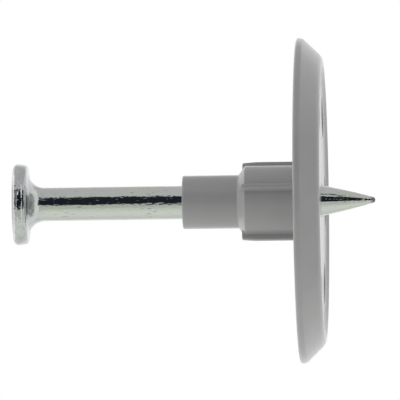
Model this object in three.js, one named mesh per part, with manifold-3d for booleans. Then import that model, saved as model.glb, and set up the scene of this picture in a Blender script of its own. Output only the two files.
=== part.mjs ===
// Wall anchor: a headed steel drive pin held by friction in a moulded plastic plate washer.
// Millimetres. The pin's axis is X and +X points into the wall.
// X = 0 is the plane of the plate's front rim, the face that lies on the wall.

import * as THREE from 'three';
import * as BufferGeometryUtils from 'three/addons/utils/BufferGeometryUtils.js';
import Module from 'manifold-3d';

const wasm = await Module();
wasm.setup();

// Drive pin
const PIN_SEGMENTS = 48;
const HEAD_BACK_X = -34.4;
const HEAD_THICKNESS = 1.63;
const HEAD_RADIUS = 4.5;
const HEAD_BACK_EDGE = 0.5;
const HEAD_UNDER_EDGE = 0.45;
const HEAD_UNDER_INSET = 0.1;
const NECK_ARC_RADIUS = 1.85;
const NECK_ARC_DEGREES = 78;
const SHANK_RADIUS = 1.85;
const POINT_START_X = -1.2;
const TIP_X = 5.65;
const TIP_RADIUS = 0.34;
const POINT_TAPER = 0.72;

// Plate of the washer
const PLATE_SEGMENTS = 72;
const PLATE_RADIUS = 18.0;
const PLATE_THICKNESS = 2.85;
const BACK_EDGE = 0.3;
const BEVEL_START_X = -2.1;
const BEVEL_START_RADIUS = 17.9;
const BEVEL_END_X = -0.4;
const BEVEL_END_RADIUS = 16.25;
const FRONT_FLAT_RADIUS = 15.55;
const FRONT_CORNER = 0.3;
const RECESS_RADIUS = 15.1;
const RECESS_DEPTH = 0.28;
const RECESS_DRAFT = 0.5;
const WEB_BACK_X = -1.65;
const PAN_FLOOR_RADIUS = 15.0;
const PAN_MOUTH_RADIUS = 16.0;
const PAN_CORNER = 0.4;
const PAN_CORNER_RISE = 0.16;

// Six kidney-shaped slots through the web, on a circle round the pin
const SLOT_COUNT = 6;
const SLOT_CIRCLE_RADIUS = 10.7;
const SLOT_WIDTH = 3.6;
const SLOT_HALF_ANGLE = THREE.MathUtils.degToRad(6.2);
const SLOT_FIRST_ANGLE = 0;

// Guide collar with four ribs, and the slimmer sleeve behind it
const SLEEVE_END_X = -15.65;
const SLEEVE_RADIUS = 2.95;
const SLEEVE_EDGE = 0.15;
const CONE_START_X = -9.46;
const CONE_END_X = -8.72;
const COLLAR_RADIUS = 3.95;
const ROOT_FILLET = 0.5;
const RIB_START_X = -9.1;
const RIB_RADIUS = 4.66;
const RIB_START_RADIUS = 4.54;
const RIB_LEAD_IN = 1.5;
const RIB_WIDTH = 0.55;
const RIB_ROOT_DEPTH = 0.4;
const RIB_FIRST_ANGLE = THREE.MathUtils.degToRad(22.4);

// Bore that grips the shank
const BORE_RADIUS = 1.92;
const BORE_MOUTH = 0.25;

// Steps in small edge rounds, fillets, the neck, the point, the front corner and the slots
const EDGE_STEPS = 3;
const FILLET_STEPS = 4;
const NECK_STEPS = 7;
const POINT_STEPS = 10;
const FRONT_CORNER_STEPS = 5;
const SLOT_STEPS = 10;

// How far a cutting solid runs past the material it cuts
const PAST = 1;
const MERGE_DISTANCE = 1e-5;

// Corner points of an arc in a profile, as [radius, x] pairs.
// Angles are in degrees from the outward radial direction towards +X.
function arcPoints(centreRadius, centreX, radius, fromDegrees, toDegrees, steps) {
  const points = [];
  for (let i = 0; i <= steps; i += 1) {
    const angle = THREE.MathUtils.degToRad(fromDegrees + ((toDegrees - fromDegrees) * i) / steps);
    points.push([centreRadius + radius * Math.cos(angle), centreX + radius * Math.sin(angle)]);
  }
  return points;
}

// Solid of revolution about X from [radius, x] pairs that run from -X to +X.
function revolve(profile, segments) {
  const points = profile.map(([radius, x]) => new THREE.Vector2(Math.max(radius, 0), x));
  const geometry = new THREE.LatheGeometry(points, segments);
  geometry.rotateZ(-Math.PI / 2);
  return geometry;
}

// Straight prism along X of a shape drawn in the Y-Z plane.
function prismAlongX(shape, fromX, toX, curveSegments) {
  const geometry = new THREE.ExtrudeGeometry(shape, {
    depth: toX - fromX,
    bevelEnabled: false,
    curveSegments,
  });
  const toFrame = new THREE.Matrix4().set(
    0, 0, 1, fromX,
    1, 0, 0, 0,
    0, 1, 0, 0,
    0, 0, 0, 1,
  );
  geometry.applyMatrix4(toFrame);
  return geometry;
}

function signedVolume(geometry) {
  const position = geometry.getAttribute('position');
  const index = geometry.getIndex();
  const a = new THREE.Vector3();
  const b = new THREE.Vector3();
  const c = new THREE.Vector3();
  let total = 0;
  for (let i = 0; i < index.count; i += 3) {
    a.fromBufferAttribute(position, index.getX(i));
    b.fromBufferAttribute(position, index.getX(i + 1));
    c.fromBufferAttribute(position, index.getX(i + 2));
    total += a.dot(b.cross(c)) / 6;
  }
  return total;
}

// Closed solid, with its faces turned outwards.
function toSolid(geometry) {
  const bare = geometry.clone();
  bare.deleteAttribute('normal');
  bare.deleteAttribute('uv');
  const merged = BufferGeometryUtils.mergeVertices(bare, MERGE_DISTANCE);
  const corners = merged.getIndex().array;
  const flip = signedVolume(merged) < 0;
  const triVerts = [];
  for (let i = 0; i < corners.length; i += 3) {
    const [a, b, c] = [corners[i], corners[i + 1], corners[i + 2]];
    if (a !== b && b !== c && a !== c) {
      triVerts.push(a, flip ? c : b, flip ? b : c);
    }
  }
  return new wasm.Manifold(new wasm.Mesh({
    numProp: 3,
    vertProperties: new Float32Array(merged.getAttribute('position').array),
    triVerts: new Uint32Array(triVerts),
  }));
}

function toGeometry(solid) {
  const mesh = solid.getMesh();
  const geometry = new THREE.BufferGeometry();
  geometry.setAttribute('position', new THREE.BufferAttribute(new Float32Array(mesh.vertProperties), 3));
  geometry.setIndex(new THREE.BufferAttribute(new Uint32Array(mesh.triVerts), 1));
  geometry.computeVertexNormals();
  return geometry;
}

// Pin: rounded head, neck on an arc, plain shank and a slightly swelling point.
function pinProfile() {
  const underHeadX = HEAD_BACK_X + HEAD_THICKNESS;
  const backEdge = [HEAD_RADIUS - HEAD_BACK_EDGE, HEAD_BACK_X + HEAD_BACK_EDGE];
  const underRadius = HEAD_RADIUS - HEAD_UNDER_INSET;
  const underEdge = [underRadius - HEAD_UNDER_EDGE, underHeadX - HEAD_UNDER_EDGE];
  const profile = [[0, HEAD_BACK_X]];
  profile.push(...arcPoints(...backEdge, HEAD_BACK_EDGE, -90, 0, EDGE_STEPS));
  profile.push(...arcPoints(...underEdge, HEAD_UNDER_EDGE, 0, 90, FILLET_STEPS));
  const neckArc = THREE.MathUtils.degToRad(NECK_ARC_DEGREES);
  const neckEndX = underHeadX + NECK_ARC_RADIUS * Math.sin(neckArc);
  for (let i = 0; i <= NECK_STEPS; i += 1) {
    const angle = neckArc * (1 - i / NECK_STEPS);
    profile.push([
      SHANK_RADIUS + NECK_ARC_RADIUS * (1 - Math.cos(angle)),
      neckEndX - NECK_ARC_RADIUS * Math.sin(angle),
    ]);
  }
  const pointLength = TIP_X - TIP_RADIUS - POINT_START_X;
  for (let i = 0; i <= POINT_STEPS; i += 1) {
    const t = i / POINT_STEPS;
    const swell = 1 - POINT_TAPER * t - (1 - POINT_TAPER) * t * t;
    profile.push([
      TIP_RADIUS + (SHANK_RADIUS - TIP_RADIUS) * swell,
      POINT_START_X + pointLength * t,
    ]);
  }
  profile.push(...arcPoints(0, TIP_X - TIP_RADIUS, TIP_RADIUS, 45, 90, 1));
  return profile;
}

// Washer without its bore, slots and ribs: sleeve, cone, collar, panned web, rim and front recess.
function washerProfile() {
  const backX = -PLATE_THICKNESS;
  const profile = [[0, SLEEVE_END_X]];
  const sleeveEdge = [SLEEVE_RADIUS - SLEEVE_EDGE, SLEEVE_END_X + SLEEVE_EDGE];
  const rootFillet = [COLLAR_RADIUS + ROOT_FILLET, WEB_BACK_X - ROOT_FILLET];
  const backEdge = [PLATE_RADIUS - BACK_EDGE, backX + BACK_EDGE];
  profile.push(...arcPoints(...sleeveEdge, SLEEVE_EDGE, -90, 0, EDGE_STEPS));
  profile.push([SLEEVE_RADIUS, CONE_START_X]);
  profile.push([COLLAR_RADIUS, CONE_END_X]);
  profile.push(...arcPoints(...rootFillet, ROOT_FILLET, 180, 90, FILLET_STEPS));
  profile.push([PAN_FLOOR_RADIUS - PAN_CORNER, WEB_BACK_X]);
  profile.push([PAN_FLOOR_RADIUS, WEB_BACK_X - PAN_CORNER_RISE]);
  profile.push([PAN_MOUTH_RADIUS, backX]);
  profile.push(...arcPoints(...backEdge, BACK_EDGE, -90, 0, FILLET_STEPS));
  profile.push([BEVEL_START_RADIUS, BEVEL_START_X]);
  for (let i = 0; i <= FRONT_CORNER_STEPS; i += 1) {
    const t = i / FRONT_CORNER_STEPS;
    const edge = (1 - t) ** 2;
    const middle = 2 * t * (1 - t);
    const flat = t ** 2;
    profile.push([
      edge * BEVEL_END_RADIUS + middle * (BEVEL_END_RADIUS - FRONT_CORNER) + flat * FRONT_FLAT_RADIUS,
      edge * BEVEL_END_X + middle * (BEVEL_END_X + FRONT_CORNER),
    ]);
  }
  profile.push([RECESS_RADIUS, 0]);
  profile.push([RECESS_RADIUS - RECESS_DRAFT, -RECESS_DEPTH]);
  profile.push([0, -RECESS_DEPTH]);
  return profile;
}

// Revolved blank for the ribs, cut to their width afterwards.
function ribBlankProfile() {
  return [
    [0, RIB_START_X],
    [RIB_START_RADIUS, RIB_START_X],
    [RIB_RADIUS, RIB_START_X + RIB_LEAD_IN],
    [RIB_RADIUS, WEB_BACK_X + RIB_ROOT_DEPTH],
    [0, WEB_BACK_X + RIB_ROOT_DEPTH],
  ];
}

function boreProfile() {
  return [
    [0, SLEEVE_END_X - PAST],
    [BORE_RADIUS + BORE_MOUTH + PAST, SLEEVE_END_X - PAST],
    [BORE_RADIUS, SLEEVE_END_X + BORE_MOUTH],
    [BORE_RADIUS, -RECESS_DEPTH + PAST],
    [0, -RECESS_DEPTH + PAST],
  ];
}

// Slab as wide as a rib that crosses the axis, so it leaves two opposite ribs.
function ribSlab(angle) {
  const reach = RIB_RADIUS + PAST;
  const slab = new THREE.Shape();
  slab.moveTo(-reach, -RIB_WIDTH / 2);
  slab.lineTo(reach, -RIB_WIDTH / 2);
  slab.lineTo(reach, RIB_WIDTH / 2);
  slab.lineTo(-reach, RIB_WIDTH / 2);
  slab.closePath();
  const geometry = prismAlongX(slab, RIB_START_X - PAST, WEB_BACK_X + PAST, 1);
  geometry.rotateX(-angle);
  return toSolid(geometry);
}

function slotCutter(angle) {
  const outer = SLOT_CIRCLE_RADIUS + SLOT_WIDTH / 2;
  const inner = SLOT_CIRCLE_RADIUS - SLOT_WIDTH / 2;
  const from = angle - SLOT_HALF_ANGLE;
  const to = angle + SLOT_HALF_ANGLE;
  const slot = new THREE.Shape();
  slot.absarc(0, 0, outer, from, to, false);
  slot.absarc(
    SLOT_CIRCLE_RADIUS * Math.cos(to), SLOT_CIRCLE_RADIUS * Math.sin(to),
    SLOT_WIDTH / 2, to, to + Math.PI, false,
  );
  slot.absarc(0, 0, inner, to, from, true);
  slot.absarc(
    SLOT_CIRCLE_RADIUS * Math.cos(from), SLOT_CIRCLE_RADIUS * Math.sin(from),
    SLOT_WIDTH / 2, from + Math.PI, from + 2 * Math.PI, false,
  );
  return toSolid(prismAlongX(slot, -PLATE_THICKNESS - PAST, PAST, SLOT_STEPS));
}

function buildWasher() {
  const blank = toSolid(revolve(ribBlankProfile(), PIN_SEGMENTS));
  const slabs = ribSlab(RIB_FIRST_ANGLE).add(ribSlab(RIB_FIRST_ANGLE + Math.PI / 2));
  let washer = toSolid(revolve(washerProfile(), PLATE_SEGMENTS));
  washer = washer.add(blank.intersect(slabs));
  for (let i = 0; i < SLOT_COUNT; i += 1) {
    const angle = SLOT_FIRST_ANGLE + (2 * Math.PI * i) / SLOT_COUNT;
    washer = washer.subtract(slotCutter(angle));
  }
  return washer.subtract(toSolid(revolve(boreProfile(), PIN_SEGMENTS)));
}

function addPiece(group, name, solid, material) {
  const mesh = new THREE.Mesh(toGeometry(solid), material);
  mesh.name = name;
  group.add(mesh);
}

const zincPlatedSteel = new THREE.MeshStandardMaterial({
  color: 0xb9bab6,
  roughness: 0.35,
  metalness: 1.0,
});
const mouldedPlastic = new THREE.MeshStandardMaterial({
  color: 0xa7a7a7,
  roughness: 0.5,
  metalness: 0.0,
});

const group = new THREE.Group();
group.name = 'wall_anchor';
addPiece(group, 'drive_pin', toSolid(revolve(pinProfile(), PIN_SEGMENTS)), zincPlatedSteel);
addPiece(group, 'washer', buildWasher(), mouldedPlastic);

export default group;
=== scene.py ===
import math

import bmesh
import bpy
from mathutils import Matrix, Vector, noise


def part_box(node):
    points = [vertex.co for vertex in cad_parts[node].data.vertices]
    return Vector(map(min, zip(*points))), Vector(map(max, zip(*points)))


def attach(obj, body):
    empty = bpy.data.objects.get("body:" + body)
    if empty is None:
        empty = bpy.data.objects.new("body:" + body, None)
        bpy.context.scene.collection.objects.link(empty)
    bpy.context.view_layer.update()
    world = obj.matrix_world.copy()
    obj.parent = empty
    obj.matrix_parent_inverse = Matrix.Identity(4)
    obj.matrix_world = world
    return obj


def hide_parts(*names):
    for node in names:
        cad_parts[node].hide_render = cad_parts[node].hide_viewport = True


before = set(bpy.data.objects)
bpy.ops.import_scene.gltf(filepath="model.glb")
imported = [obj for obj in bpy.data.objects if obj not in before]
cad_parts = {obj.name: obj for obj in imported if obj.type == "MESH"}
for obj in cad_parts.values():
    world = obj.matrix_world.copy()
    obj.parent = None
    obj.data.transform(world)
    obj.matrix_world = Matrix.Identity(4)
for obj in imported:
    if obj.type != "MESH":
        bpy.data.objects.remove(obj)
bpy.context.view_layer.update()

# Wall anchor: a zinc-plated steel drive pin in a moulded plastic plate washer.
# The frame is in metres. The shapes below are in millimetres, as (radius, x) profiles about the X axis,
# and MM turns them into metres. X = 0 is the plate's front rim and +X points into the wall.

MM = 0.001

# ---------------------------------------------------------------- sizes that come from the frame
PIN_LOW, PIN_HIGH = (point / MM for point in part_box("drive_pin"))
WASHER_LOW, WASHER_HIGH = (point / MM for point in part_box("washer"))

HEAD_BACK_X = PIN_LOW.x
HEAD_RADIUS = PIN_HIGH.z
TIP_X = PIN_HIGH.x
SLEEVE_END_X = WASHER_LOW.x
PLATE_RADIUS = WASHER_HIGH.z

# ---------------------------------------------------------------- driving dimensions, mm
# Pin: a flat head, a neck hollowed on an arc, a plain shank and the point
HEAD_THICKNESS = 1.63
HEAD_BACK_EDGE = 0.5
HEAD_UNDER_EDGE = 0.45
HEAD_UNDER_INSET = 0.1
NECK_ARC_RADIUS = 1.85
NECK_ARC_DEGREES = 78
SHANK_RADIUS = 1.85
POINT_START_X = -1.2
TIP_RADIUS = 0.34
POINT_TAPER = 0.72

# Mesh of the pin: columns round it, rows along it, and shares of the flat back where rings lie
PIN_COLUMNS = 192
PIN_ROW_STEP = 0.22
HEAD_ROW_STEP = 0.06
HEAD_BACK_RINGS = (0.25, 0.5, 0.75, 0.95)
HEAD_BACK_STEPS = 6
HEAD_UNDER_STEPS = 8
NECK_STEPS = 14
POINT_STEPS = 36
TIP_FROM_DEGREES, TIP_TO_DEGREES, TIP_STEPS = 20, 70, 3

# Unevenness of the steel: depths, then noise as (scale round the pin, scale along it, offset)
FORGING_DEPTH = 0.06
LUMP_SHARE, DENT_SHARE = 0.6, 0.4
HEAD_GRAIN_DEPTH = 0.022
DRAWING_DEPTH = 0.006
STREAK_DEPTH = 0.04
LUMPS = (3.2, 1.6, (0, 0))
DENTS = (9.0, 3.4, (5, 0))
HEAD_GRAIN = (26.0, 6.0, (0, 11))
DRAWING_LINES = (9.0, 0.12, (0, 7))
STREAKS = (6.0, 0.35, (3, 0))
POINT_BLEND = 1.5

# Grooves of the heading dies, placed as shares of the head's thickness
GROOVE_PLACES = (0.42, 0.81)
GROOVE_WIDTH = 0.1
GROOVE_DEPTH = 0.05
GROOVE_WANDER = 0.1
GROOVE_WANDER_SCALE = 1.7

# Plate: rim, bevel, the shallow recess in front and the pan behind, with the rounds of their edges
PLATE_THICKNESS = 2.85
BACK_EDGE = 0.3
BEVEL_START_X = -2.1
BEVEL_START_RADIUS = 17.9
BEVEL_END_X = -0.4
BEVEL_END_RADIUS = 16.25
FRONT_FLAT_RADIUS = 15.55
FRONT_CORNER = 0.3
RECESS_RADIUS = 15.1
RECESS_DEPTH = 0.28
RECESS_DRAFT = 0.5
WEB_BACK_X = -1.65
PAN_FLOOR_RADIUS = 15.0
PAN_MOUTH_RADIUS = 16.0
PAN_FILLET = 0.3
PAN_MOUTH_ROUND = 0.25
SHOULDER_ROUND = 0.25
FLAT_ROUND = 0.12
RECESS_EDGE_ROUND = 0.1
RECESS_FLOOR_ROUND = 0.2

# Mesh of the plate's rim
RIM_COLUMNS = 288
RIM_ROW_STEP = 0.4
BACK_EDGE_STEPS = 8
FRONT_CORNER_STEPS = 8

# Kidney-shaped slots through the web
SLOT_COUNT = 6
SLOT_CIRCLE_RADIUS = 10.7
SLOT_WIDTH = 3.6
SLOT_HALF_ANGLE = math.radians(6.2)
SLOT_EDGE = 0.05
SLOT_EDGE_STEPS = 4
SLOT_ARC_STEPS = 20
SLOT_END_STEPS = 16

# Sleeve towards the head, cone, and collar with its ribs
SLEEVE_RADIUS = 2.95
SLEEVE_EDGE = 0.15
CONE_START_X = -9.46
CONE_END_X = -8.72
CONE_FOOT_ROUND = 0.35
CONE_TOP_ROUND = 0.2
COLLAR_RADIUS = 3.95
ROOT_FILLET = 0.5

RIB_COUNT = 4
RIB_START_X = -9.1
RIB_RADIUS = 4.66
RIB_START_RADIUS = 4.54
RIB_LEAD_IN = 1.5
RIB_WIDTH = 0.55
RIB_FIRST_ANGLE = math.radians(22.4)
RIB_ROOT_FILLET = 0.12
RIB_TOP_ROUND = 0.16
RIB_FLARE = 0.5

# Bore, with a chamfered mouth in the sleeve's end
BORE_RADIUS = 1.92
BORE_MOUTH = 0.25
BORE_FRONT_EDGE = 0.12

# Mesh of the bore, sleeve, collar and ribs
BORE_EDGE_STEPS = 4
BORE_ROW_STEP = 0.7
MOUTH_ROW_STEP = 0.12
SLEEVE_EDGE_STEPS = 6
SLEEVE_ROW_STEP = 0.5
COLLAR_ROW_STEP = 0.4
ROOT_FILLET_STEPS = 7
RIB_ROUND_STEPS = 5
GAP_COLUMNS = 26

# How a rib's end face rises: distance past the rib's start, and share of the rib's full height there
RIB_FACE_ROWS = ((-0.05, 0.0), (0.0, 0.04), (0.012, 0.4), (0.024, 0.88), (0.06, 0.97), (0.12, 1.0))

# Scar of the moulding gate on the rim, angle from -Y towards +Z
GATE_ANGLE = math.radians(-40.5)
GATE_X = -2.1
GATE_HALF_LENGTH = 0.75
GATE_HALF_WIDTH = 0.12
GATE_HEIGHT = 0.05

# Coplanar row beside each round, which keeps flat faces flat where the shading is smoothed
SUPPORT = 0.05

# Mesh points closer than this become one
MERGE_DISTANCE = 0.0001


# ---------------------------------------------------------------- profiles
def arc(centre_radius, centre_x, radius, from_degrees, to_degrees, steps):
    """Points of an arc as (radius, x). Angles run from the outward radial direction towards +X."""
    points = []
    for i in range(steps + 1):
        angle = math.radians(from_degrees + (to_degrees - from_degrees) * i / steps)
        points.append((centre_radius + radius * math.cos(angle), centre_x + radius * math.sin(angle)))
    return points


def straight(start, end, step):
    """Points along a straight stretch, without its two ends."""
    count = max(1, round(math.dist(start, end) / step))
    return [
        (start[0] + (end[0] - start[0]) * i / count, start[1] + (end[1] - start[1]) * i / count)
        for i in range(1, count)
    ]


def corner(before, at, after, radius, steps=5):
    """Round of the given size where two straight stretches of a profile meet."""
    at, before, after = Vector(at), Vector(before), Vector(after)
    back = (before - at).normalized()
    on = (after - at).normalized()
    half = back.angle(on) / 2
    reach = radius / math.tan(half)
    start, end = at + back * reach, at + on * reach
    centre = at + (back + on).normalized() * (radius / math.sin(half))
    arm_from, arm_to = start - centre, end - centre
    turn = arm_from.angle_signed(arm_to)
    points = []
    for i in range(steps + 1):
        arm = Matrix.Rotation(-turn * i / steps, 2) @ arm_from
        points.append(tuple(centre + arm))
    return points


def pin_profile():
    """Rounded head, neck on an arc, plain shank and a slightly swelling point."""
    under_x = HEAD_BACK_X + HEAD_THICKNESS
    back = (HEAD_RADIUS - HEAD_BACK_EDGE, HEAD_BACK_X + HEAD_BACK_EDGE)
    under = (HEAD_RADIUS - HEAD_UNDER_INSET - HEAD_UNDER_EDGE, under_x - HEAD_UNDER_EDGE)
    rows = [(0, HEAD_BACK_X)]
    rows += [(back[0] * t, HEAD_BACK_X) for t in HEAD_BACK_RINGS]
    rows += arc(*back, HEAD_BACK_EDGE, -90, 0, HEAD_BACK_STEPS)
    rows += straight((HEAD_RADIUS, back[1]), (HEAD_RADIUS - HEAD_UNDER_INSET, under[1]), HEAD_ROW_STEP)
    rows += arc(*under, HEAD_UNDER_EDGE, 0, 90, HEAD_UNDER_STEPS)
    neck_arc = math.radians(NECK_ARC_DEGREES)
    neck_end_x = under_x + NECK_ARC_RADIUS * math.sin(neck_arc)
    neck_top = SHANK_RADIUS + NECK_ARC_RADIUS * (1 - math.cos(neck_arc))
    rows += straight((under[0], under_x), (neck_top, under_x), HEAD_ROW_STEP)
    for i in range(NECK_STEPS + 1):
        angle = neck_arc * (1 - i / NECK_STEPS)
        rows.append((
            SHANK_RADIUS + NECK_ARC_RADIUS * (1 - math.cos(angle)),
            neck_end_x - NECK_ARC_RADIUS * math.sin(angle),
        ))
    rows += straight((SHANK_RADIUS, neck_end_x), (SHANK_RADIUS, POINT_START_X), PIN_ROW_STEP)
    point_length = TIP_X - TIP_RADIUS - POINT_START_X
    for i in range(POINT_STEPS + 1):
        t = i / POINT_STEPS
        swell = 1 - POINT_TAPER * t - (1 - POINT_TAPER) * t * t
        rows.append((TIP_RADIUS + (SHANK_RADIUS - TIP_RADIUS) * swell, POINT_START_X + point_length * t))
    rows += arc(0, TIP_X - TIP_RADIUS, TIP_RADIUS, TIP_FROM_DEGREES, TIP_TO_DEGREES, TIP_STEPS)
    rows.append((0, TIP_X))
    return rows


def rim_profile():
    """Plate outside the web, from the pan round the rim to the recess's wall."""
    back_x = -PLATE_THICKNESS
    floor_corner = (PAN_FLOOR_RADIUS, WEB_BACK_X)
    mouth_corner = (PAN_MOUTH_RADIUS, back_x)
    rows = [(PAN_FLOOR_RADIUS - 2 * PAN_FILLET, WEB_BACK_X)]
    rows += corner(rows[0], floor_corner, mouth_corner, PAN_FILLET)
    rows += corner(floor_corner, mouth_corner, (PLATE_RADIUS, back_x), PAN_MOUTH_ROUND)
    rows += straight(rows[-1], (PLATE_RADIUS - BACK_EDGE, back_x), RIM_ROW_STEP)
    rows += arc(PLATE_RADIUS - BACK_EDGE, back_x + BACK_EDGE, BACK_EDGE, -90, 0, BACK_EDGE_STEPS)
    shoulder = (BEVEL_START_RADIUS, BEVEL_START_X)
    bevel_end = (BEVEL_END_RADIUS, BEVEL_END_X)
    rows += corner(rows[-1], shoulder, bevel_end, SHOULDER_ROUND, steps=4)
    rows += straight(rows[-1], bevel_end, RIM_ROW_STEP)
    crown = (BEVEL_END_RADIUS - FRONT_CORNER, BEVEL_END_X + FRONT_CORNER)
    flat = (FRONT_FLAT_RADIUS, 0)
    for i in range(FRONT_CORNER_STEPS):
        t = i / FRONT_CORNER_STEPS
        near, middle, far = (1 - t) ** 2, 2 * t * (1 - t), t * t
        rows.append(tuple(near * bevel_end[k] + middle * crown[k] + far * flat[k] for k in (0, 1)))
    recess_edge = (RECESS_RADIUS, 0)
    floor_edge = (RECESS_RADIUS - RECESS_DRAFT, -RECESS_DEPTH)
    floor_middle = (0, -RECESS_DEPTH)
    rows += corner(rows[-1], flat, recess_edge, FLAT_ROUND, steps=3)
    rows += corner(flat, recess_edge, floor_edge, RECESS_EDGE_ROUND, steps=4)
    rows += corner(recess_edge, floor_edge, floor_middle, RECESS_FLOOR_ROUND, steps=4)
    rows.append((rows[-1][0] - SUPPORT, -RECESS_DEPTH))
    return rows


def stem_profile():
    """Bore, sleeve, cone and collar, from the bore's front edge back through it and out to the web.
    Each row is (radius, x, rib height), the last being the share of a rib's full height there."""
    front_x = -RECESS_DEPTH
    rows = [(BORE_RADIUS + BORE_FRONT_EDGE + SUPPORT, front_x)]
    front_edge = (BORE_RADIUS + BORE_FRONT_EDGE, front_x - BORE_FRONT_EDGE)
    rows += arc(*front_edge, BORE_FRONT_EDGE, 90, 180, BORE_EDGE_STEPS)
    mouth = (BORE_RADIUS, SLEEVE_END_X + BORE_MOUTH)
    rows += straight(rows[-1], mouth, BORE_ROW_STEP)
    rows.append(mouth)
    lip = (BORE_RADIUS + BORE_MOUTH, SLEEVE_END_X)
    rows += straight(mouth, lip, MOUTH_ROW_STEP)
    rows.append(lip)
    rows.append((lip[0] + SUPPORT, SLEEVE_END_X))
    sleeve_edge = (SLEEVE_RADIUS - SLEEVE_EDGE, SLEEVE_END_X + SLEEVE_EDGE)
    rows += arc(*sleeve_edge, SLEEVE_EDGE, -90, 0, SLEEVE_EDGE_STEPS)
    cone_start, cone_end = (SLEEVE_RADIUS, CONE_START_X), (COLLAR_RADIUS, CONE_END_X)
    root = (COLLAR_RADIUS, WEB_BACK_X - ROOT_FILLET)
    cone = corner(rows[-1], cone_start, cone_end, CONE_FOOT_ROUND)
    shoulder = corner(cone_start, cone_end, root, CONE_TOP_ROUND)
    rows += straight(rows[-1], cone[0], SLEEVE_ROW_STEP)
    rows += cone
    plain = [(radius, x, 0.0) for radius, x in rows]
    # The rib's end face rises in the cone, then its full height runs to the web.
    slope = (COLLAR_RADIUS - SLEEVE_RADIUS) / (CONE_END_X - CONE_START_X)
    ribbed = []
    for ahead, height in RIB_FACE_ROWS:
        x = RIB_START_X + ahead
        ribbed.append((SLEEVE_RADIUS + slope * (x - CONE_START_X), x, height))
    full = shoulder + straight(shoulder[-1], root, COLLAR_ROW_STEP)
    root_fillet = (COLLAR_RADIUS + ROOT_FILLET, WEB_BACK_X - ROOT_FILLET)
    full += arc(*root_fillet, ROOT_FILLET, 180, 90, ROOT_FILLET_STEPS)
    full.append((COLLAR_RADIUS + ROOT_FILLET + SUPPORT, WEB_BACK_X))
    ribbed += [(radius, x, 1.0) for radius, x in full]
    return plain + ribbed


# ---------------------------------------------------------------- rib section
def rib_section():
    """Columns round the stem as (angle, rib height share): plain arcs between four ribs.
    A rib has a small fillet at its root, parallel flanks and rounded top corners."""
    half_width = RIB_WIDTH / 2
    height = RIB_RADIUS - COLLAR_RADIUS
    flank = []
    fillet_u = half_width + RIB_ROOT_FILLET
    fillet_v = math.sqrt((COLLAR_RADIUS + RIB_ROOT_FILLET) ** 2 - fillet_u ** 2)
    touch = math.atan2(fillet_u, fillet_v)
    start = 1.5 * math.pi - touch
    for i in range(RIB_ROUND_STEPS + 1):
        angle = start + (math.pi - start) * i / RIB_ROUND_STEPS
        flank.append((
            fillet_u + RIB_ROOT_FILLET * math.cos(angle),
            fillet_v + RIB_ROOT_FILLET * math.sin(angle),
        ))
    top_u = half_width - RIB_TOP_ROUND
    top_v = math.sqrt((RIB_RADIUS - RIB_TOP_ROUND) ** 2 - top_u ** 2)
    flank.append((half_width, (flank[-1][1] + top_v) / 2))
    finish = math.pi / 2 - math.atan2(top_u, top_v)
    for i in range(RIB_ROUND_STEPS + 1):
        angle = finish * i / RIB_ROUND_STEPS
        flank.append((top_u + RIB_TOP_ROUND * math.cos(angle), top_v + RIB_TOP_ROUND * math.sin(angle)))
    side = []
    for u, v in flank:
        share = (math.hypot(u, v) - COLLAR_RADIUS) / height
        side.append((math.atan2(u, v), min(1.0, max(0.0, share))))
    crown = [(side[-1][0] * t, 1.0) for t in (0.5, 0.0)]
    half = side + crown
    rib = [(-angle, share) for angle, share in half]
    rib += [(angle, share) for angle, share in reversed(half[:-1])]
    gap = 2 * math.pi / RIB_COUNT - 2 * side[0][0]
    columns = []
    for k in range(RIB_COUNT):
        middle = RIB_FIRST_ANGLE + 2 * math.pi * k / RIB_COUNT
        columns += [(middle + angle, share) for angle, share in rib]
        columns += [(middle + side[0][0] + gap * i / GAP_COLUMNS, 0.0) for i in range(1, GAP_COLUMNS)]
    return columns


# ---------------------------------------------------------------- mesh helpers
def from_camera_side(angle, radius):
    """(y, z) of a point at this angle from -Y towards +Z."""
    return -radius * math.cos(angle), radius * math.sin(angle)


def add_ring(mesh, points):
    """Mesh points of a closed ring, from points in millimetres."""
    return [mesh.verts.new(Vector(point) * MM) for point in points]


def join_rings(mesh, first, second):
    """Quads between two closed rings of the same length."""
    count = len(first)
    for j in range(count):
        following = (j + 1) % count
        mesh.faces.new((first[j], first[following], second[following], second[j]))


def loft(mesh, rings):
    """Skin of quads over a row of rings."""
    for first, second in zip(rings, rings[1:]):
        join_rings(mesh, first, second)


def fan(mesh, ring, tip):
    """Triangles from a ring to one point, which close an end."""
    for j in range(len(ring)):
        mesh.faces.new((ring[j], ring[(j + 1) % len(ring)], tip))


def fill_flat(mesh, *rings):
    """Flat face between an outer ring and the rings of its holes."""
    edges = []
    for ring in rings:
        for j in range(len(ring)):
            edges.append(mesh.edges.get((ring[j], ring[(j + 1) % len(ring)])))
    bmesh.ops.triangle_fill(mesh, edges=edges, use_beauty=True)


def finish_piece(mesh, name, material, sharp_degrees=40):
    """Turns the faces outwards and makes the object, with smooth shading between its real edges."""
    bmesh.ops.remove_doubles(mesh, verts=mesh.verts, dist=MERGE_DISTANCE * MM)
    bmesh.ops.recalc_face_normals(mesh, faces=mesh.faces)
    for face in mesh.faces:
        face.smooth = True
    for edge in mesh.edges:
        edge.smooth = edge.calc_face_angle(0) < math.radians(sharp_degrees)
    data = bpy.data.meshes.new(name)
    mesh.to_mesh(data)
    mesh.free()
    data.materials.append(material)
    piece = bpy.data.objects.new(name, data)
    bpy.context.scene.collection.objects.link(piece)
    return piece


# ---------------------------------------------------------------- pieces
def ripple(around, x, pattern):
    """Noise of a pattern at a place on the pin."""
    round_scale, along_scale, offset = pattern
    return noise.noise(around * round_scale + Vector((*offset, x * along_scale)))


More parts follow.
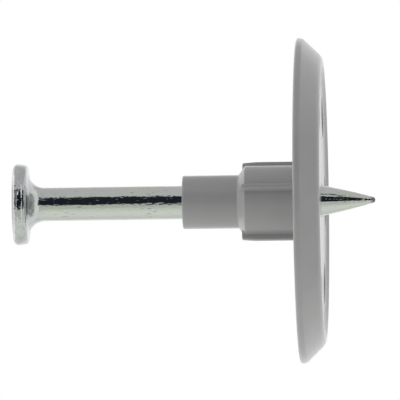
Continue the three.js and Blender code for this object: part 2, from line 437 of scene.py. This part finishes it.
def forged(radius, x, angle):
    """Radius with the small unevenness of a forged head, a drawn shank and a ground point."""
    around = Vector((math.cos(angle), math.sin(angle), 0))
    past_head = (x - HEAD_BACK_X - HEAD_THICKNESS) / NECK_ARC_RADIUS
    on_head = 1 - min(1.0, max(0.0, past_head))
    on_point = min(1.0, max(0.0, (x - POINT_START_X) / POINT_BLEND))
    # The heading dies leave two grooves that wander round the rim and fade out on two sides.
    wander = GROOVE_WANDER * noise.noise(around * GROOVE_WANDER_SCALE)
    groove = 0
    for place in GROOVE_PLACES:
        groove_x = HEAD_BACK_X + HEAD_THICKNESS * (place + wander)
        groove += math.exp(-(((x - groove_x) / GROOVE_WIDTH) ** 2)) * around.x ** 2
    uneven = LUMP_SHARE * ripple(around, x, LUMPS) + DENT_SHARE * ripple(around, x, DENTS)
    depth = on_head * (FORGING_DEPTH * uneven + HEAD_GRAIN_DEPTH * ripple(around, x, HEAD_GRAIN))
    depth += DRAWING_DEPTH * ripple(around, x, DRAWING_LINES)
    depth += STREAK_DEPTH * on_point * ripple(around, x, STREAKS)
    depth -= GROOVE_DEPTH * groove
    # Nearer the axis than the shank's side, at the tip and on the flat back, the unevenness fades.
    share = min(1.0, radius / SHANK_RADIUS)
    return radius + share * depth


def build_drive_pin(material):
    """Headed pin: its profile turned about the axis, with the unevenness of the steel."""
    mesh = bmesh.new()
    rows = pin_profile()
    rings = []
    for radius, x in rows[1:-1]:
        points = []
        for j in range(PIN_COLUMNS):
            angle = 2 * math.pi * j / PIN_COLUMNS
            points.append((x, *from_camera_side(angle, forged(radius, x, angle))))
        rings.append(add_ring(mesh, points))
    loft(mesh, rings)
    for ring, (_, x) in ((rings[0], rows[0]), (rings[-1], rows[-1])):
        fan(mesh, ring, mesh.verts.new(Vector((x, 0, 0)) * MM))
    return finish_piece(mesh, "drive_pin_surface", material)


def sweep(centre, radius, start, end, steps):
    """Points of an arc in a flat plane, without its last point."""
    points = []
    for i in range(steps):
        angle = start + (end - start) * i / steps
        points.append((centre[0] + radius * math.cos(angle), centre[1] + radius * math.sin(angle)))
    return points


def slot_outline(middle, grow):
    """Kidney outline round the slot's middle angle, grown outwards by a small distance."""
    half = SLOT_WIDTH / 2 + grow
    axis = (0, 0)
    first, last = middle - SLOT_HALF_ANGLE, middle + SLOT_HALF_ANGLE
    first_end, last_end = (
        (SLOT_CIRCLE_RADIUS * math.cos(angle), SLOT_CIRCLE_RADIUS * math.sin(angle))
        for angle in (first, last)
    )
    points = sweep(axis, SLOT_CIRCLE_RADIUS + half, first, last, SLOT_ARC_STEPS)
    points += sweep(last_end, half, last, last + math.pi, SLOT_END_STEPS)
    points += sweep(axis, SLOT_CIRCLE_RADIUS - half, last, first, SLOT_ARC_STEPS)
    points += sweep(first_end, half, first + math.pi, first + 2 * math.pi, SLOT_END_STEPS)
    return points


def slot_rings(mesh, middle):
    """Wall of one slot, with rounded edges, from the web's back to its front.
    Each level is (growth of the slot's outline, x)."""
    levels = [(SLOT_EDGE + SUPPORT, WEB_BACK_X)]
    levels += arc(SLOT_EDGE, WEB_BACK_X + SLOT_EDGE, SLOT_EDGE, -90, -180, SLOT_EDGE_STEPS)
    levels += arc(SLOT_EDGE, -RECESS_DEPTH - SLOT_EDGE, SLOT_EDGE, 180, 90, SLOT_EDGE_STEPS)
    levels.append((SLOT_EDGE + SUPPORT, -RECESS_DEPTH))
    rings = []
    for grow, x in levels:
        rings.append(add_ring(mesh, [(x, y, z) for y, z in slot_outline(middle, grow)]))
    loft(mesh, rings)
    return rings


def gate_scar(x, angle):
    """Height of the gate's scar, a narrow raised lens that lies along the rim."""
    off = (angle - GATE_ANGLE + math.pi) % (2 * math.pi) - math.pi
    along = off * PLATE_RADIUS / GATE_HALF_LENGTH
    across = (x - GATE_X) / GATE_HALF_WIDTH
    return GATE_HEIGHT * math.exp(-(along ** 2) - across ** 2)


def build_washer(material):
    """Plate, collar, ribs and sleeve as one closed skin, with slots through the web."""
    mesh = bmesh.new()
    rim = []
    rim_angles = [2 * math.pi * j / RIM_COLUMNS for j in range(RIM_COLUMNS)]
    for radius, x in rim_profile():
        points = [(x, *from_camera_side(angle, radius + gate_scar(x, angle))) for angle in rim_angles]
        rim.append(add_ring(mesh, points))
    loft(mesh, rim)
    columns = rib_section()
    stem = []
    for radius, x, height in stem_profile():
        lead = min(1.0, max(0.0, (x - RIB_START_X) / RIB_LEAD_IN))
        flare = RIB_FLARE * max(0.0, radius - COLLAR_RADIUS)
        top = RIB_START_RADIUS + (RIB_RADIUS - RIB_START_RADIUS) * lead + flare
        points = []
        for angle, share in columns:
            lifted = radius + height * share * (top - radius)
            points.append((x, *from_camera_side(angle, lifted)))
        stem.append(add_ring(mesh, points))
    loft(mesh, stem)
    slots = [slot_rings(mesh, 2 * math.pi * k / SLOT_COUNT) for k in range(SLOT_COUNT)]
    fill_flat(mesh, rim[0], stem[-1], *(rings[0] for rings in slots))
    fill_flat(mesh, rim[-1], stem[0], *(rings[-1] for rings in slots))
    return finish_piece(mesh, "washer_surface", material)


# ---------------------------------------------------------------- materials
# Linear colours
ZINC = (0.63, 0.655, 0.65)
YELLOWED_ZINC = (0.655, 0.69, 0.60)
DULL_ZINC = (0.53, 0.55, 0.545)
RUBBED_ZINC = (0.61, 0.63, 0.62)
TIP_STEEL = (0.17, 0.17, 0.18)
PIT = (0.26, 0.28, 0.27)
PLASTIC = (0.384, 0.385, 0.384)
PALE_PLASTIC = (0.404, 0.405, 0.404)
FLOOR_GREY = (0.82, 0.82, 0.81)
FLOOR_WHITE = (0.86, 0.86, 0.85)

# The dark tip fades in between these distances from the end of the pin, mm
TIP_DARK_FROM = 0.7
TIP_DARK_TO = 0.15

# Stretch of a texture: the same all ways, or drawn out along the pin
EVEN = (1.0, 1.0, 1.0)
DRAWN_OUT = (0.22, 1.5, 1.5)


def new_material(name):
    """Material with its nodes, its links and its shader."""
    material = bpy.data.materials.new(name)
    material.use_nodes = True
    nodes = material.node_tree.nodes
    return material, nodes, material.node_tree.links, nodes["Principled BSDF"]


def object_coordinates(nodes, links, stretch):
    """Object coordinates in millimetres, stretched along each axis."""
    coordinates = nodes.new("ShaderNodeTexCoord")
    mapping = nodes.new("ShaderNodeMapping")
    mapping.inputs["Scale"].default_value = [share / MM for share in stretch]
    links.new(coordinates.outputs["Object"], mapping.inputs["Vector"])
    return mapping.outputs["Vector"]


def noise_texture(nodes, links, vector, scale, detail, roughness=0.5):
    """Smooth noise, where a higher scale makes it finer."""
    texture = nodes.new("ShaderNodeTexNoise")
    texture.inputs["Scale"].default_value = scale
    texture.inputs["Detail"].default_value = detail
    texture.inputs["Roughness"].default_value = roughness
    links.new(vector, texture.inputs["Vector"])
    return texture.outputs["Fac"]


def spread(nodes, links, value, low, high, from_low=0.3, from_high=0.7):
    """Maps a texture's value to a range."""
    mapped = nodes.new("ShaderNodeMapRange")
    mapped.inputs["From Min"].default_value = from_low
    mapped.inputs["From Max"].default_value = from_high
    mapped.inputs["To Min"].default_value = low
    mapped.inputs["To Max"].default_value = high
    links.new(value, mapped.inputs["Value"])
    return mapped.outputs["Result"]


def ramp(nodes, links, value, from_low, from_high):
    """Goes softly from 0 at the first limit to 1 at the second, whichever of them is higher."""
    node = nodes.new("ShaderNodeMapRange")
    node.interpolation_type = "SMOOTHSTEP"
    node.inputs["From Min"].default_value = from_low
    node.inputs["From Max"].default_value = from_high
    links.new(value, node.inputs["Value"])
    return node.outputs["Result"]


def calculate(nodes, links, operation, first, second):
    """Result of an operation on two values, each a number or a node's output."""
    node = nodes.new("ShaderNodeMath")
    node.operation = operation
    for socket, value in zip(node.inputs, (first, second)):
        if isinstance(value, (int, float)):
            socket.default_value = value
        else:
            links.new(value, socket)
    return node.outputs["Value"]


def blend_colours(nodes, links, factor, first, second):
    """Goes from a first colour at factor 0 to a second at 1."""
    mix = nodes.new("ShaderNodeMix")
    mix.data_type = "RGBA"
    for socket, colour in (("A", first), ("B", second)):
        target = next(s for s in mix.inputs if s.name == socket and s.type == "RGBA")
        if isinstance(colour, tuple):
            target.default_value = (*colour, 1)
        else:
            links.new(colour, target)
    links.new(factor, mix.inputs["Factor"])
    return next(s for s in mix.outputs if s.type == "RGBA")


def bump(nodes, links, height, distance, strength, under=None):
    """Fine relief on top of any relief under it. The distance is in millimetres."""
    node = nodes.new("ShaderNodeBump")
    node.inputs["Distance"].default_value = distance * MM
    node.inputs["Strength"].default_value = strength
    links.new(height, node.inputs["Height"])
    if under is not None:
        links.new(under, node.inputs["Normal"])
    return node.outputs["Normal"]


def zinc_plated_steel():
    """Bright zinc plate: drawing lines along the pin, small pits and a faint yellow-green passivation.
    The forged head is duller and patchy, and the tip is dark."""
    material, nodes, links, shader = new_material("zinc_plated_steel")
    along = object_coordinates(nodes, links, DRAWN_OUT)
    even = object_coordinates(nodes, links, EVEN)
    tint = noise_texture(nodes, links, even, scale=0.5, detail=3)
    blotches = noise_texture(nodes, links, even, scale=1.1, detail=4)
    grain = noise_texture(nodes, links, even, scale=3.2, detail=1)
    lines = noise_texture(nodes, links, along, scale=2.4, detail=4, roughness=0.65)
    specks = noise_texture(nodes, links, along, scale=5.0, detail=2)
    yellowed = spread(nodes, links, tint, low=0, high=1)
    patches = spread(nodes, links, blotches, low=0, high=1, from_low=0.42, from_high=0.6)
    pits = spread(nodes, links, specks, low=0, high=1, from_low=0.66, from_high=0.74)

    place = nodes.new("ShaderNodeSeparateXYZ")
    links.new(even, place.inputs["Vector"])
    under_head_x = HEAD_BACK_X + HEAD_THICKNESS
    on_head = ramp(nodes, links, place.outputs["X"], under_head_x + NECK_ARC_RADIUS, under_head_x)
    on_tip = ramp(nodes, links, place.outputs["X"], TIP_X - TIP_DARK_FROM, TIP_X - TIP_DARK_TO)

    shank_colour = blend_colours(nodes, links, yellowed, ZINC, YELLOWED_ZINC)
    head_colour = blend_colours(nodes, links, patches, DULL_ZINC, RUBBED_ZINC)
    colour = blend_colours(nodes, links, on_head, shank_colour, head_colour)
    colour = blend_colours(nodes, links, on_tip, colour, TIP_STEEL)
    colour = blend_colours(nodes, links, pits, colour, PIT)
    links.new(colour, shader.inputs["Base Color"])
    shader.inputs["Metallic"].default_value = 1.0
    links.new(spread(nodes, links, lines, low=0.04, high=0.10), shader.inputs["Roughness"])

    sunk = calculate(nodes, links, "MULTIPLY", pits, -1.0)
    coarse = bump(nodes, links, lines, distance=0.022, strength=0.5)
    fine = bump(nodes, links, grain, distance=0.03, strength=0.8, under=coarse)
    pitted = bump(nodes, links, sunk, distance=0.01, strength=1.0, under=fine)
    links.new(pitted, shader.inputs["Normal"])
    return material


def moulded_plastic():
    """Satin moulded plastic: light grey with faint mottling and a fine moulded grain."""
    material, nodes, links, shader = new_material("moulded_plastic")
    even = object_coordinates(nodes, links, EVEN)
    clouds = noise_texture(nodes, links, even, scale=0.35, detail=3)
    grain = noise_texture(nodes, links, even, scale=4.5, detail=3)
    mottled = spread(nodes, links, clouds, low=0, high=1)
    colour = blend_colours(nodes, links, mottled, PLASTIC, PALE_PLASTIC)
    links.new(colour, shader.inputs["Base Color"])
    shader.inputs["Metallic"].default_value = 0.0
    shader.inputs["IOR"].default_value = 1.45
    shader.inputs["Coat Weight"].default_value = 0.7
    shader.inputs["Coat Roughness"].default_value = 0.12
    shader.inputs["Coat IOR"].default_value = 1.4
    links.new(spread(nodes, links, grain, low=0.36, high=0.46), shader.inputs["Roughness"])
    links.new(bump(nodes, links, grain, distance=0.006, strength=0.35), shader.inputs["Normal"])
    return material


def pale_floor():
    """Dull off-white with broad faint clouds."""
    material, nodes, links, shader = new_material("pale_floor")
    even = object_coordinates(nodes, links, EVEN)
    clouds = noise_texture(nodes, links, even, scale=0.01, detail=2)
    links.new(blend_colours(nodes, links, clouds, FLOOR_GREY, FLOOR_WHITE), shader.inputs["Base Color"])
    shader.inputs["Roughness"].default_value = 0.9
    return material


# ---------------------------------------------------------------- studio
FLOOR_BELOW_AXIS = 50
FLOOR_RADIUS = 900
FLOOR_COLUMNS = 96


def build_floor():
    """Pale disc under the part, which throws no light, reflection or shadow on it."""
    mesh = bmesh.new()
    points = []
    for x, y in sweep((0, 0), FLOOR_RADIUS, 0, 2 * math.pi, FLOOR_COLUMNS):
        points.append((x, y, -FLOOR_BELOW_AXIS))
    mesh.faces.new(add_ring(mesh, points))
    floor = finish_piece(mesh, "studio_floor", pale_floor())
    floor.visible_diffuse = False
    floor.visible_glossy = False
    floor.visible_shadow = False


def window(nodes, links, value, low, high, soft):
    """1 between two values and 0 outside them, with soft ends."""
    rise = ramp(nodes, links, value, low - soft, low + soft)
    fall = ramp(nodes, links, value, high + soft, high - soft)
    return calculate(nodes, links, "MULTIPLY", rise, fall)


def relight(nodes, links, colour, light, value, change):
    """Goes over to another light where a value passes through a change, given as two limits."""
    return blend_colours(nodes, links, ramp(nodes, links, value, *change), colour, light)


# Light by direction, as linear colours. The backdrop that the camera sees is plain white.
FRONT_UP_LIGHT = (0.60, 0.59, 0.61)
FRONT_LOW_LIGHT = (0.58, 0.59, 0.55)
TOP_LIGHT = (0.60, 0.59, 0.61)
BOTTOM_LIGHT = (0.84, 0.86, 0.83)
REAR_UP_LIGHT = (0.60, 0.59, 0.61)
REAR_LIGHT = (0.96, 0.96, 0.96)
REAR_LOW_LIGHT = (0.75, 0.76, 0.74)
LEFT_FRONT_LIGHT = (1.25, 1.25, 1.25)
LEFT_LIGHT = (0.80, 0.80, 0.80)
RIGHT_FRONT_LIGHT = (0.90, 0.90, 0.90)
RIGHT_LIGHT = (0.65, 0.65, 0.65)
DARK_CARD = (0.016, 0.018, 0.027)

# Where one light goes over to the next, as parts of the unit direction
FRONT_LOW_TO_UP = (-0.1, 0.1)
FRONT_TO_TOP = (0.6, 0.85)
FRONT_TO_BOTTOM = (-0.35, -0.95)
REAR_TO_UP = (0.42, 0.62)
REAR_TO_LOW = (-0.5, -0.8)
FRONT_TO_REAR = (0.0, 0.35)
SIDE_NEAR = (0.42, 0.62)
SIDE_FAR = (0.75, 0.92)

# Edges of the dark card, as angles up and across from the camera's side, and how soft they are
CARD_LOW, CARD_HIGH, CARD_SOFT = (math.radians(angle) for angle in (-7.5, 45.5, 1.5))
CARD_LEFT, CARD_RIGHT, CARD_SIDE_SOFT = (math.radians(angle) for angle in (-35, 38, 3))


def build_light():
    """White backdrop with soft light from all round, and a dark card on the camera's side."""
    world = bpy.data.worlds.new("soft_studio")
    world.use_nodes = True
    bpy.context.scene.world = world
    nodes, links = world.node_tree.nodes, world.node_tree.links
    nodes.clear()
    direction = nodes.new("ShaderNodeTexCoord")
    split = nodes.new("ShaderNodeSeparateXYZ")
    links.new(direction.outputs["Generated"], split.inputs["Vector"])
    x, y, z = (split.outputs[axis] for axis in "XYZ")
    forward = calculate(nodes, links, "MULTIPLY", y, -1.0)
    rise = calculate(nodes, links, "ARCTAN2", z, forward)
    turn = calculate(nodes, links, "ARCTAN2", x, forward)

    front = relight(nodes, links, FRONT_LOW_LIGHT, FRONT_UP_LIGHT, z, FRONT_LOW_TO_UP)
    front = relight(nodes, links, front, TOP_LIGHT, z, FRONT_TO_TOP)
    front = relight(nodes, links, front, BOTTOM_LIGHT, z, FRONT_TO_BOTTOM)
    rear = relight(nodes, links, REAR_LIGHT, REAR_UP_LIGHT, z, REAR_TO_UP)
    rear = relight(nodes, links, rear, REAR_LOW_LIGHT, z, REAR_TO_LOW)
    colour = relight(nodes, links, front, rear, y, FRONT_TO_REAR)
    for side, near_light, far_light in (
        (-1, LEFT_FRONT_LIGHT, LEFT_LIGHT),
        (1, RIGHT_FRONT_LIGHT, RIGHT_LIGHT),
    ):
        for light, change in ((near_light, SIDE_NEAR), (far_light, SIDE_FAR)):
            colour = relight(nodes, links, colour, light, x, [side * limit for limit in change])
    card = calculate(
        nodes, links, "MULTIPLY",
        window(nodes, links, rise, CARD_LOW, CARD_HIGH, CARD_SOFT),
        window(nodes, links, turn, CARD_LEFT, CARD_RIGHT, CARD_SIDE_SOFT),
    )
    colour = blend_colours(nodes, links, card, colour, DARK_CARD)
    lights = nodes.new("ShaderNodeBackground")
    links.new(colour, lights.inputs["Color"])
    backdrop = nodes.new("ShaderNodeBackground")
    backdrop.inputs["Color"].default_value = (1, 1, 1, 1)
    path = nodes.new("ShaderNodeLightPath")
    choose = nodes.new("ShaderNodeMixShader")
    links.new(path.outputs["Is Camera Ray"], choose.inputs["Fac"])
    links.new(lights.outputs["Background"], choose.inputs[1])
    links.new(backdrop.outputs["Background"], choose.inputs[2])
    output = nodes.new("ShaderNodeOutputWorld")
    links.new(choose.outputs["Shader"], output.inputs["Surface"])


# Camera, far off for a picture almost without perspective
CAMERA_DISTANCE = 900
CAMERA_YAW = math.radians(2.8)
CAMERA_ROLL = math.radians(0.80)
CAMERA_AIM = (-13.76, 0, 0.25)
VIEW_WIDTH = 44.25
SENSOR_WIDTH = 36


def build_camera():
    """Long lens, level with the pin and a little to its point's side.
    It is rolled, so that the pin rises to the right."""
    data = bpy.data.cameras.new("camera")
    data.sensor_width = SENSOR_WIDTH
    data.lens = SENSOR_WIDTH * CAMERA_DISTANCE / VIEW_WIDTH
    data.clip_start = 0.01
    camera = bpy.data.objects.new("camera", data)
    bpy.context.scene.collection.objects.link(camera)
    back = Vector((math.sin(CAMERA_YAW), -math.cos(CAMERA_YAW), 0))
    level = Vector((math.cos(CAMERA_YAW), math.sin(CAMERA_YAW), 0))
    upright = Vector((0, 0, 1))
    right = level * math.cos(CAMERA_ROLL) - upright * math.sin(CAMERA_ROLL)
    up = level * math.sin(CAMERA_ROLL) + upright * math.cos(CAMERA_ROLL)
    turned = Matrix((right, up, back)).transposed().to_4x4()
    place = (Vector(CAMERA_AIM) + back * CAMERA_DISTANCE) * MM
    camera.matrix_world = Matrix.Translation(place) @ turned
    bpy.context.scene.camera = camera


build_camera()
build_light()
build_floor()
bpy.context.scene.view_settings.view_transform = "Standard"

pin = build_drive_pin(zinc_plated_steel())
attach(pin, "pin")
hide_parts("drive_pin")

washer = build_washer(moulded_plastic())
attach(washer, "washer")
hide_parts("washer")
